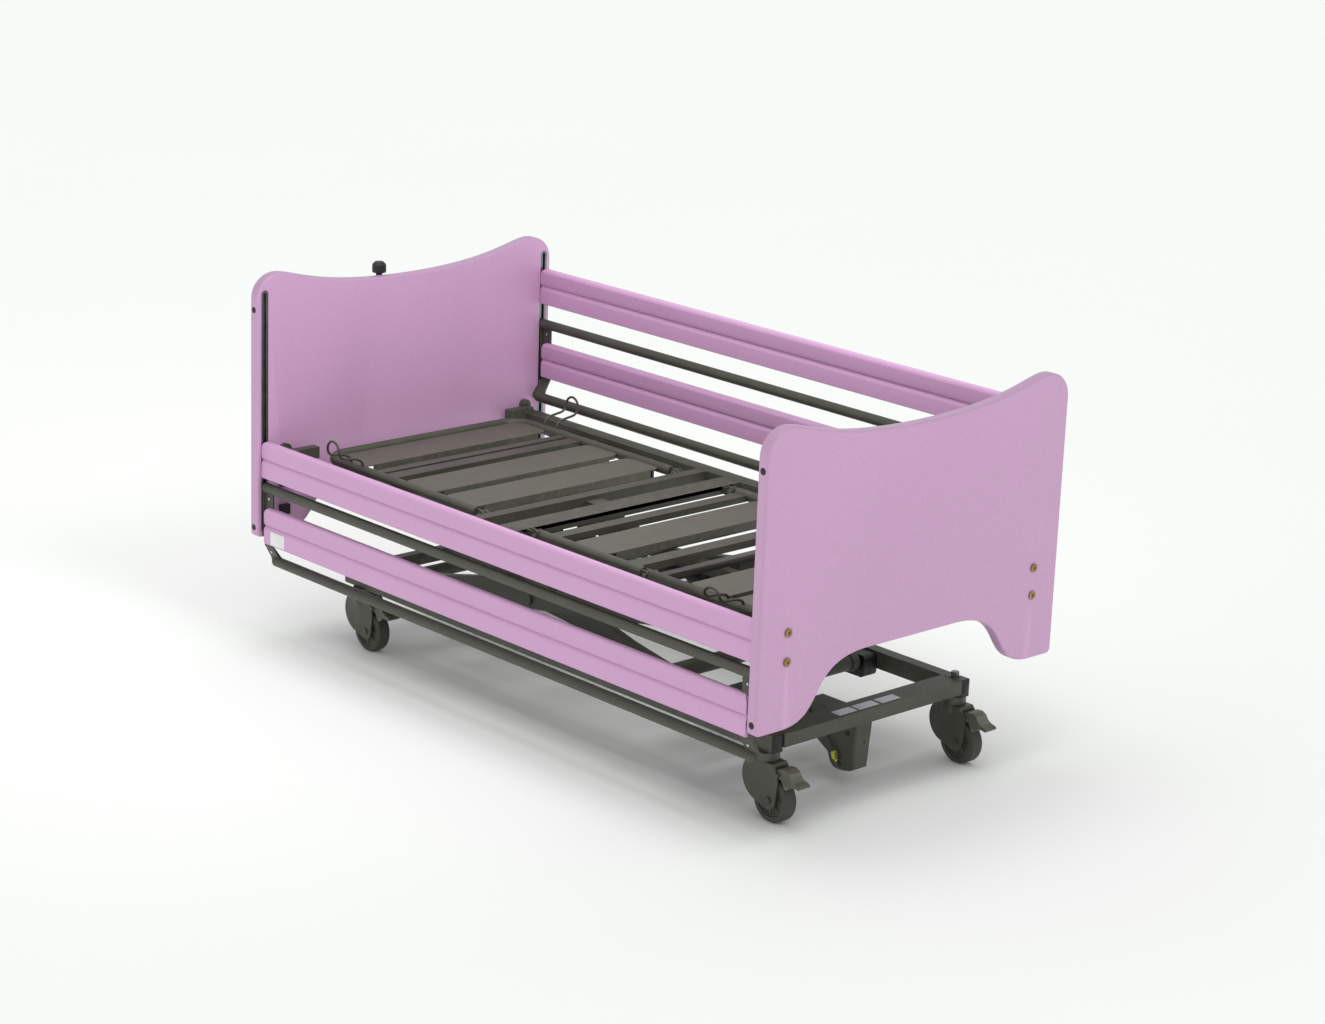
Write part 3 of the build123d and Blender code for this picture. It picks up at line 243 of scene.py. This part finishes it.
def stem_material():
    """Castor stem: dark moulded socket below the side tube, zinc bolt head above it."""
    m, nt, b = new_mat("castor_stem")
    tc = nt.nodes.new("ShaderNodeTexCoord")
    sep = nt.nodes.new("ShaderNodeSeparateXYZ")
    nt.links.new(tc.outputs["Object"], sep.inputs[0])
    top = rng(nt, sep.outputs["Z"], 0.0, 1.0, 0.1695, 0.1705)
    v = coords(nt)
    dark = ramp(nt, noise(nt, v, 25, 3), [(0.35, lin(66, 66, 57)), (0.7, lin(80, 80, 70))])
    zinc = ramp(nt, noise(nt, v, 60, 4), [(0.3, (0.14, 0.14, 0.15)), (0.7, (0.26, 0.26, 0.27))])
    nt.links.new(mix(nt, top, dark, zinc), b.inputs["Base Color"])
    nt.links.new(top, b.inputs["Metallic"])
    nt.links.new(rng(nt, noise(nt, v, 80, 3), 0.30, 0.46), b.inputs["Roughness"])
    nt.links.new(bump(nt, noise(nt, v, 1300, 2), 0.2, 0.0002), b.inputs["Normal"])
    return m


def section_frame_material(base_dark, base_light):
    """Powder-coated tube frame."""
    m, nt, b = new_mat("section_frame")
    tc = nt.nodes.new("ShaderNodeTexCoord")
    v = coords(nt)
    col = ramp(nt, noise(nt, v, 14, 4), [(0.35, base_dark), (0.68, base_light)])
    sp = ramp(nt, noise(nt, v, 900, 1), [(0.38, (0.80, 0.80, 0.80)), (0.62, (1.08, 1.08, 1.08))])
    col = mix(nt, 1.0, col, sp, "MULTIPLY")
    nt.links.new(col, b.inputs["Base Color"])
    nt.links.new(rng(nt, noise(nt, v, 45, 3), 0.36, 0.50), b.inputs["Roughness"])
    n1 = bump(nt, noise(nt, v, 1100, 2), 0.25, 0.0002)
    nt.links.new(bump(nt, noise(nt, v, 260, 2), 0.15, 0.0004, n1), b.inputs["Normal"])
    return m


STEM = stem_material()
SECTION = section_frame_material(lin(71, 72, 61), lin(79, 80, 68))

NODE_MAT = {
    "head_board": PINK, "foot_board": PINK, "board_tracks": ALU, "board_bolts": BRASS, "board_edge_plugs": BLACK,
    "knob_bracket": BLACK, "pull_knob": BLACK, "base_frame": FRAME, "base_end_caps": BLACK, "castor_stems": STEM,
    "lift_arm_inner": FRAME, "lift_arm_outer": FRAME, "lift_arm_pins": FRAME, "lift_glides_upper": BLACK,
    "lift_glides_lower": BLACK, "lift_bearing_blocks": BLACK, "lift_drive": BLACK, "lift_drive_rod": STEEL,
    "deck_frame": FRAME, "lift_deck_pins": ZINC, "seat_hinge_pins": ZINC, "control_box": BLACK,
    "backrest_frame": SECTION, "backrest_slats": SLAT, "thigh_frame": SECTION, "thigh_slat": SLAT,
    "knee_hinge_pins": ZINC, "leg_frame": SECTION, "leg_slats": SLAT, "leg_stop_bolts": ZINC,
    "back_drive": BLACK, "back_drive_rod": STEEL, "leg_drive": BLACK, "leg_drive_rod": STEEL,
}
for s in ("right", "left"):
    NODE_MAT["rail_%s_upper_board" % s] = PINK_RAIL
    NODE_MAT["rail_%s_lower_board" % s] = PINK_RAIL
    NODE_MAT["rail_%s_frame" % s] = FRAME
    NODE_MAT["rail_%s_upper_glides" % s] = BLACK
    NODE_MAT["rail_%s_lower_glides" % s] = BLACK
CASTORS = [(a, b) for a in ("foot", "head") for b in ("left", "right")]
for a, b in CASTORS:
    t = "%s_%s" % (a, b)
    NODE_MAT["castor_fork_" + t] = CASTOR
    NODE_MAT["castor_pins_" + t] = CASTOR
    NODE_MAT["castor_wheel_" + t] = RUBBER
    NODE_MAT["brake_pedal_" + t] = PEDAL

NO_BEVEL = {"head_board", "foot_board", "board_edge_plugs", "castor_stems"}
BIG = {"base_frame": 1.6, "deck_frame": 1.6, "lift_arm_inner": 1.8, "lift_arm_outer": 1.8, "base_end_caps": 1.2, "control_box": 0.8,
       "rail_right_frame": 0.8, "rail_left_frame": 0.8}
for n, o in NODES.items():
    o.data.materials.clear()
    o.data.materials.append(NODE_MAT[n])
    for p in o.data.polygons:
        p.use_smooth = True
        p.material_index = 0
    if "custom_normal" in o.data.attributes:
        o.data.attributes.remove(o.data.attributes["custom_normal"])
    w = o.modifiers.new("weld", "WELD")
    w.merge_threshold = 0.00002
    if len(o.data.vertices) > 30000:
        continue
    b = o.modifiers.new("edge_round", "BEVEL")
    b.limit_method = "ANGLE"
    b.angle_limit = math.radians(38)
    b.width = BIG.get(n, 0.6) / 1000
    b.segments = 2
    b.use_clamp_overlap = True
    b.harden_normals = True
    if n in NO_BEVEL:
        b.width = 0.0003
        b.segments = 1


# ------------------------------------------------------------------ mesh helpers
def finish_mesh(name, bm, mat, body, smooth=True):
    bmesh.ops.remove_doubles(bm, verts=bm.verts, dist=1e-6)
    bmesh.ops.recalc_face_normals(bm, faces=bm.faces)
    me = bpy.data.meshes.new(name)
    bm.to_mesh(me)
    bm.free()
    me.materials.append(mat)
    for p in me.polygons:
        p.use_smooth = smooth
    if smooth:
        me.set_sharp_from_angle(angle=math.radians(35))
    o = bpy.data.objects.new(name, me)
    bpy.context.scene.collection.objects.link(o)
    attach(o, body)
    return o


def axis_frame(axis):
    a = Vector(axis).normalized()
    u = a.orthogonal().normalized()
    return a, u, a.cross(u)


def add_lathe(bm, centre, axis, profile, seg=32):
    """profile: (radius mm, distance along axis mm) pairs; closed at both ends."""
    a, u, v = axis_frame(axis)
    rings = []
    for r, d in profile:
        base = centre + a * (d / 1000)
        if r < 1e-6:
            rings.append([bm.verts.new(base)])
        else:
            rings.append([bm.verts.new(base + (u * math.cos(2 * math.pi * i / seg) + v * math.sin(2 * math.pi * i / seg)) * (r / 1000))
                          for i in range(seg)])
    for p, q in zip(rings, rings[1:]):
        for i in range(seg):
            j = (i + 1) % seg
            if len(p) == 1 and len(q) == 1:
                continue
            if len(p) == 1:
                bm.faces.new((p[0], q[i], q[j]))
            elif len(q) == 1:
                bm.faces.new((p[i], p[j], q[0]))
            else:
                bm.faces.new((p[i], p[j], q[j], q[i]))
    for ring in (rings[0], rings[-1]):
        if len(ring) > 1:
            bm.faces.new(ring)


def add_plate(bm, centre, u, v, w, h, t, corner=3.0, bev=0.3, seg=6):
    """Rounded-corner plate with softened rims, spanned by u and v, thickness along u x v. Sizes in mm."""
    u, v = Vector(u).normalized(), Vector(v).normalized()
    n = u.cross(v)
    def ring(off, depth):
        pts = []
        hw, hh, c = w / 2 - off, h / 2 - off, max(corner - off, 0.2)
        for cx, cy, a0 in ((hw - c, hh - c, 0), (-hw + c, hh - c, 90), (-hw + c, -hh + c, 180), (hw - c, -hh + c, 270)):
            for k in range(seg + 1):
                a = math.radians(a0 + 90 * k / seg)
                pts.append(bm.verts.new(centre + (u * (cx + c * math.cos(a)) + v * (cy + c * math.sin(a)) + n * depth) / 1000))
        return pts
    rings = [ring(bev, -t / 2), ring(0, -t / 2 + bev), ring(0, t / 2 - bev), ring(bev, t / 2)]
    for p, q in zip(rings, rings[1:]):
        for i in range(len(p)):
            j = (i + 1) % len(p)
            bm.faces.new((p[i], p[j], q[j], q[i]))
    bm.faces.new(rings[0][::-1])
    bm.faces.new(rings[-1])


def catmull(pts, steps=8):
    pts = [Vector(p) for p in pts]
    out = []
    for i in range(len(pts) - 1):
        p0, p1, p2, p3 = pts[max(i - 1, 0)], pts[i], pts[i + 1], pts[min(i + 2, len(pts) - 1)]
        for k in range(steps):
            t = k / steps
            out.append(0.5 * ((2 * p1) + (p2 - p0) * t + (2 * p0 - 5 * p1 + 4 * p2 - p3) * t * t + (3 * p1 - p0 - 3 * p2 + p3) * t ** 3))
    out.append(pts[-1])
    return out


def add_tube(bm, pts, radius, seg=12, wobble=None):
    """Closed tube along points in metres; radius in mm, optionally a function of the step."""
    rings = []
    up = None
    for i, p in enumerate(pts):
        d = (pts[min(i + 1, len(pts) - 1)] - pts[max(i - 1, 0)]).normalized()
        if up is None:
            up = d.orthogonal().normalized()
        up = (up - d * up.dot(d)).normalized()
        side = d.cross(up)
        r = (radius if wobble is None else wobble(i)) / 1000
        rings.append([bm.verts.new(p + (up * math.cos(2 * math.pi * k / seg) + side * math.sin(2 * math.pi * k / seg)) * r) for k in range(seg)])
    for a, b in zip(rings, rings[1:]):
        for k in range(seg):
            j = (k + 1) % seg
            bm.faces.new((a[k], a[j], b[j], b[k]))
    bm.faces.new(rings[0][::-1])
    bm.faces.new(rings[-1])


def add_weld(bm, p0, p1, radius=1.9, pitch=3.2):
    """A weld bead: overlapping ripples laid along a seam."""
    p0, p1 = Vector(p0), Vector(p1)
    n = max(4, int((p1 - p0).length * 1000 / pitch * 4))
    pts = [p0.lerp(p1, i / n) for i in range(n + 1)]
    def w(i):
        t = (i % 4) / 4
        e = min(1.0, i / 4 + 0.25, (n - i) / 4 + 0.25)
        return radius * (0.80 + 0.28 * math.sin(math.pi * t)) * e
    add_tube(bm, pts, radius, 8, w)


ZUP = Vector((0, 0, 1))
DOME = [(0, -0.3), (3.6, -0.3), (3.6, 0.4), (3.1, 1.3), (2.0, 1.9), (0, 2.2)]


def screw(bm, centre, axis, r=4.5, h=2.6):
    """Pan-head screw with a hexagon socket sunk in its head."""
    a, u, v = axis_frame(axis)
    seg = 30
    prof = [(r, -0.4), (r, h * 0.35), (r * 0.93, h * 0.7), (r * 0.76, h * 0.95), (r * 0.6, h)]
    rings = [[bm.verts.new(centre + a * (d / 1000) + (u * math.cos(2 * math.pi * i / seg) + v * math.sin(2 * math.pi * i / seg)) * (q / 1000))
              for i in range(seg)] for q, d in prof]
    def hexring(rad, d):
        out = []
        for i in range(seg):
            ang = 2 * math.pi * i / seg
            k = math.cos(math.pi / 6) / math.cos((ang % (math.pi / 3)) - math.pi / 6)
            out.append(bm.verts.new(centre + a * (d / 1000) + (u * math.cos(ang) + v * math.sin(ang)) * (rad * k / 1000)))
        return out
    rings += [hexring(r * 0.50, h), hexring(r * 0.48, h * 0.2)]
    for p, q in zip(rings, rings[1:]):
        for i in range(seg):
            j = (i + 1) % seg
            bm.faces.new((p[i], p[j], q[j], q[i]))
    bm.faces.new(rings[0][::-1])
    bm.faces.new(rings[-1])


# ------------------------------------------------------------------ labels and earth terminal
bm = bmesh.new()
for y0, y1 in ((-100, -45), (-38, 22), (30, 88)):
    add_plate(bm, P(753.5, (y0 + y1) / 2, 190.35), (1, 0, 0), (0, 1, 0), 27, y1 - y0, 0.7, 2.0, 0.15)
finish_mesh("base_labels", bm, LABEL, "bed_base")
bm = bmesh.new()
add_plate(bm, P(-774.5, -440.15, 255), (1, 0, 0), (0, 0, 1), 55, 32, 0.7, 2.0, 0.15)
finish_mesh("rail_label", bm, LABEL_W, "rail_right_lower")

bm = bmesh.new()
add_lathe(bm, P(700, -25, 43), (0, -1, 0), [(0, -0.5), (6.4, -0.5), (6.4, 0.8), (4.8, 0.8), (4.8, 4.6), (4.1, 5.2), (2.2, 5.2), (2.0, 7.4), (0, 7.6)], 24)
add_tube(bm, catmull([P(699, -28.4, 46), P(697, -29.0, 52), P(695, -29.2, 57)]), 2.2, 12)
finish_mesh("earth_stud", bm, DARKZINC, "bed_base")
lead = catmull([P(697, -29.2, 52), P(695, -31.0, 58), P(693, -32.0, 66), P(691, -31.5, 73)], 6)
bm = bmesh.new()
add_tube(bm, lead, 5.0, 16, lambda i: 7.0 if 5 < i < 17 else 4.0)
finish_mesh("earth_sleeve_yellow", bm, YELLOW, "bed_base")
bm = bmesh.new()
add_tube(bm, [p + Vector((0.0046, -0.0012, 0.0004)) for p in lead[5:-2]], 3.6, 14)
finish_mesh("earth_sleeve_green", bm, GREEN, "bed_base")
bm = bmesh.new()
add_tube(bm, catmull([P(691, -31.5, 73), P(684, -31.0, 84), P(668, -29.5, 98), P(640, -28.5, 118), P(610, -27.5, 138), P(598, -24, 152)]), 1.6, 10)
finish_mesh("earth_wire", bm, CABLE, "bed_base")

# ------------------------------------------------------------------ track stop screws and track screws
bm = bmesh.new()
for sx in (-1, 1):
    for sy in (-1, 1):
        for z in (300, 560, 832):
            add_lathe(bm, P(sx * 853.4, sy * 428.85, z), (-sx, 0, 0), [(0, -0.2), (4.2, -0.2), (4.2, 0.5), (2.6, 2.0), (1.5, 2.0), (1.2, 1.2), (0, 1.2)], 20)
finish_mesh("track_screws", bm, ZINC, "deck")

# ------------------------------------------------------------------ rail rivets
for s, sy, up in (("right", -1, 0), ("left", 1, 290)):
    bm = bmesh.new()
    for sx in (-1, 1):
        for face in (-1, 1):
            add_lathe(bm, P(sx * 821, sy * (428.85 + face * 2.0), 346 + up), (0, sy * face, 0), DOME, 24)
            # on the bent-in lower end of the strap
            d = Vector((0, sy * 0.90, -0.42)) * face
            base = P(sx * 821, sy * 421.6, 213 + up) + d * 0.0008
            add_lathe(bm, base, d, [(0, -0.3), (3.6, -0.3), (3.6, 1.0), (3.1, 1.8), (2.0, 2.3), (0, 2.6)], 24)
    finish_mesh("rail_%s_rivets" % s, bm, ZINC, "rail_%s_lower" % s)

# ------------------------------------------------------------------ wheel hubs and treads
STEM_X = {"foot": 742.0, "head": -631.0}
for a, b in CASTORS:
    t = "%s_%s" % (a, b)
    sy = 1 if b == "left" else -1
    c = P(STEM_X[a] + 30, sy * 287, 50)
    bm = bmesh.new()
    for f in (-1, 1):
        cc = c + Vector((0, f * 0.011, 0))
        seg = 48
        # hub ring with five spokes' worth of relief
        add_lathe(bm, cc, (0, f, 0), [(36.6, -0.3), (36.6, 1.4), (35.4, 2.4), (33.2, 2.4), (32.2, 0.9), (32.2, -0.3)], seg)
        for k in range(8):
            ang = 2 * math.pi * k / 8
            d = Vector((math.cos(ang), 0, math.sin(ang)))
            n = Vector((0, f, 0)).cross(d)
            add_plate(bm, cc + d * 0.0232 + Vector((0, f * 0.0009, 0)), d, n, 19.5, 3.2, 2.6, 1.2, 0.5, 3)
    finish_mesh("wheel_hub_" + t, bm, CASTOR, "wheel_" + t)
    # pedal tread bars
    bm = bmesh.new()
    cx = STEM_X[a]
    for x, z, ang in ((97.5, 106.6, -20), (103, 105.0, -16), (108.5, 103.9, -14)):
        r = math.radians(ang)
        add_plate(bm, P(cx + x, sy * 287, z), (0, 1, 0), (math.cos(r), 0, math.sin(r)), 25, 2.2, 1.6, 0.9, 0.5, 3)
    finish_mesh("pedal_treads_" + t, bm, PEDAL, "pedal_" + t)

# ------------------------------------------------------------------ weld beads
bm = bmesh.new()
for sy in (-1, 1):
    for x in (-640, -520, 490, 660):
        for e in (-15.6, 15.6):
            add_weld(bm, P(x + e, sy * 352, 415.4), P(x + e, sy * 388, 415.4))
        add_weld(bm, P(x - 14, sy * 349.4, 415.4), P(x + 14, sy * 349.4, 415.4))
    for x0, x1 in ((-169, -137), (-79, -19)):
        add_weld(bm, P(x0 + 2, sy * 349.4, 445.2), P(x1 - 2, sy * 349.4, 445.2), 1.4)
        for x in (x0 - 0.4, x1 + 0.4):
            add_weld(bm, P(x, sy * 349.6, 428), P(x, sy * 349.6, 444), 1.4)
    for sx in (-1, 1):
        add_weld(bm, P(sx * 829.2, sy * 358, 445.6), P(sx * 829.2, sy * 387, 445.6), 1.6)
        add_weld(bm, P(sx * 828.6, sy * 389.6, 420), P(sx * 828.6, sy * 389.6, 444), 1.6)
        add_weld(bm, P(sx * 812, sy * 349.8, 447.5), P(sx * 812, sy * 349.8, 457.5), 1.4)
for y in (-31.7, 13.7):
    add_weld(bm, P(-135, y, 436), P(-81, y, 436), 1.1)
finish_mesh("deck_welds", bm, FRAME, "deck")
bm = bmesh.new()
for sy in (-1, 1):
    for x0, x1 in ((717, 777), (-688, -664)):
        add_weld(bm, P(x0 + 3, sy * 271.6, 189.4), P(x1 - 3, sy * 271.6, 189.4), 1.6)
    add_weld(bm, P(716.6, sy * 271.6, 163), P(716.6, sy * 271.6, 187), 1.6)
    add_weld(bm, P(-663.6, sy * 271.6, 163), P(-663.6, sy * 271.6, 187), 1.6)
    for z in (150.4, 189.6):
        add_weld(bm, P(-655, sy * 271.4, z), P(-510, sy * 271.4, z), 1.2)
for y in (-25.4, 25.4):
    add_weld(bm, P(718, y, 159.6), P(744, y, 159.6), 1.4)
finish_mesh("base_welds", bm, FRAME, "bed_base")
bm = bmesh.new()
for sy in (-1, 1):
    for y in (206, 226):
        a0 = P(350, sy * y, 190)
        ring = [a0 + Vector((math.cos(q), 0, math.sin(q))) * 0.0190 for q in [2 * math.pi * i / 60 for i in range(61)]]
        if y == 206:
            add_tube(bm, ring, 1.5, 8, lambda i: 1.5 * (0.85 + 0.25 * math.sin(math.pi * (i % 3) / 3)))
    a0 = P(-540, sy * 206, 335)
    ring = [a0 + Vector((math.cos(q), 0, math.sin(q))) * 0.0170 for q in [2 * math.pi * i / 60 for i in range(61)]]
    add_tube(bm, ring, 1.5, 8, lambda i: 1.5 * (0.85 + 0.25 * math.sin(math.pi * (i % 3) / 3)))
finish_mesh("arm_welds", bm, FRAME, "lift_arm_a")

# ------------------------------------------------------------------ drives: end caps, lids and screws; cables under the deck
bm = bmesh.new()
add_lathe(bm, P(60, 45, 318), (-1, 0, 0), [(10.2, 0), (22.4, 0), (22.4, 6), (21.4, 8), (14, 9.5), (12, 13), (10.2, 13)], 40)
add_lathe(bm, P(-120, -45, 326), (1, 0, 0), [(10.2, 0), (22.4, 0), (22.4, 6), (21.4, 8), (14, 9.5), (12, 13), (10.2, 13)], 40)
finish_mesh("drive_wipers", bm, BLACK, "deck")
bm = bmesh.new()
for cx, cy, cz, w in ((262, 54, 318, 76), (-272, -54, 326, 76)):
    add_plate(bm, P(cx, cy, cz - 23.6), (1, 0, 0), (0, 1, 0), 64, 68, 2.4, 8, 0.7)
    for dx in (-25, 25):
        for dy in (-27, 27):
            screw(bm, P(cx + dx, cy + dy, cz - 24.8), (0, 0, -1), 3.2, 1.6)
add_plate(bm, P(645, 5, 299.6), (1, 0, 0), (0, 1, 0), 76, 76, 2.0, 8, 0.7)
for dx in (-30, 30):
    for dy in (-30, 30):
        screw(bm, P(645 + dx, 5 + dy, 298.6), (0, 0, -1), 3.4, 1.6)
finish_mesh("drive_lids", bm, BLACK, "deck")
bm = bmesh.new()
add_plate(bm, P(563.2, 22, 108.3), (0, 0, 1), (0, 1, 0), 34, 70, 2.0, 7, 0.7)
for dz in (-12, 12):
    for dy in (-28, 28):
        screw(bm, P(562.2, 22 + dy, 108.3 + dz), (-1, 0, 0), 3.0, 1.5)
finish_mesh("lift_drive_lid", bm, BLACK, "bed_base")
bm = bmesh.new()
for k, pts in enumerate((
        [(602, 25, 330), (580, 25, 334), (520, 22, 350), (420, 16, 351), (330, 20, 350), (300, 60, 348), (290, 70, 340)],
        [(602, 5, 330), (580, 5, 333), (520, 2, 350), (300, 0, 351), (60, -2, 351), (-100, -14, 351), (-180, -50, 352), (-230, -66, 350), (-252, -70, 347)])):
    add_tube(bm, catmull([P(*p) for p in pts]), 3.0, 12)
    e = P(*pts[0])
    add_lathe(bm, e + Vector((-0.004, 0, 0)), (1, 0, 0), [(0, 0), (4.6, 0), (6.2, 3), (6.2, 5.5), (7.2, 5.5), (7.2, 9), (0, 9)], 20)
finish_mesh("drive_cables", bm, CABLE, "deck")
bm = bmesh.new()
for x in (460, 360, 240, 120, 0):
    ring = [P(x, 6, 350) + Vector((0, 0.017 * math.cos(q), 0.0075 * math.sin(q))) for q in [2 * math.pi * i / 40 for i in range(41)]]
    add_tube(bm, ring, 1.3, 8)
finish_mesh("cable_ties", bm, BLACK, "deck")

# knob grip ridges
bm = bmesh.new()
for k in range(10):
    ang = 2 * math.pi * (k + 0.5) / 10
    d = Vector((math.cos(ang), math.sin(ang), 0))
    add_plate(bm, P(-886.5, -58, 851.5) + d * 0.0163, d.cross(ZUP), ZUP, 3.4, 13, 1.6, 1.4, 0.6, 4)
finish_mesh("knob_ridges", bm, BLACK, "hand_knob")

# ------------------------------------------------------------------ floor, light, camera
m, nt, b = new_mat("floor")
v = coords(nt)
nt.links.new(ramp(nt, noise(nt, v, 0.7, 2), [(0.3, (0.925, 0.945, 0.925)), (0.7, (0.93, 0.95, 0.93))]), b.inputs["Base Color"])
b.inputs["Roughness"].default_value = 0.75
b.inputs["Specular IOR Level"].default_value = 0.2
nt.links.new(bump(nt, noise(nt, v, 300, 2), 0.05, 0.0005), b.inputs["Normal"])
me = bpy.data.meshes.new("floor")
me.from_pydata([(-60, -60, 0), (60, -60, 0), (60, 60, 0), (-60, 60, 0)], [], [(0, 1, 2, 3)])
me.materials.append(m)
floor = bpy.data.objects.new("floor", me)
bpy.context.scene.collection.objects.link(floor)

world = bpy.data.worlds.new("studio")
bpy.context.scene.world = world
world.use_nodes = True
bg = world.node_tree.nodes["Background"]
bg.inputs[0].default_value = (0.985, 1.0, 0.985, 1)
bg.inputs[1].default_value = 0.74


def aim(o, loc, target):
    o.location = loc
    o.rotation_mode = "QUATERNION"
    o.rotation_quaternion = (Vector(target) - Vector(loc)).to_track_quat("-Z", "Y")
    bpy.context.scene.collection.objects.link(o)


def area(name, loc, target, size, energy, spread=180.0):
    l = bpy.data.lights.new(name, "AREA")
    l.shape = "DISK"
    l.size = size
    l.energy = energy
    l.spread = math.radians(spread)
    aim(bpy.data.objects.new(name, l), loc, target)


def sun(name, loc, target, energy, angle):
    l = bpy.data.lights.new(name, "SUN")
    l.energy = energy
    l.angle = math.radians(angle)
    aim(bpy.data.objects.new(name, l), loc, target)


sun("key", (-0.75, -0.35, 5.2), (0, 0, 0), 0.92, 44)
area("head_fill", (1.0, -0.2, 2.3), (-0.85, 0, 0.65), 0.9, 5.5, 100.0)

cam_d = bpy.data.cameras.new("camera")
cam = bpy.data.objects.new("camera", cam_d)
bpy.context.scene.collection.objects.link(cam)
yaw, pitch, roll = 0.8188, 0.2838, 0.0376
fwd = Vector((-math.sin(yaw) * math.cos(pitch), math.cos(yaw) * math.cos(pitch), -math.sin(pitch)))
right = fwd.cross(ZUP).normalized()
upv = right.cross(fwd)
R = right * math.cos(roll) + upv * math.sin(roll)
U = -right * math.sin(roll) + upv * math.cos(roll)
loc = Vector((5.0889 + SX / 1000, -4.6759, 2.4552))
cam.matrix_world = Matrix(((R.x, U.x, -fwd.x, loc.x), (R.y, U.y, -fwd.y, loc.y), (R.z, U.z, -fwd.z, loc.z), (0, 0, 0, 1)))
cam_d.sensor_fit = "HORIZONTAL"
cam_d.sensor_width = 36.0
cam_d.lens = 85.85
cam_d.clip_start, cam_d.clip_end = 0.1, 200
bpy.context.scene.camera = cam
bpy.context.scene.view_settings.view_transform = "Standard"
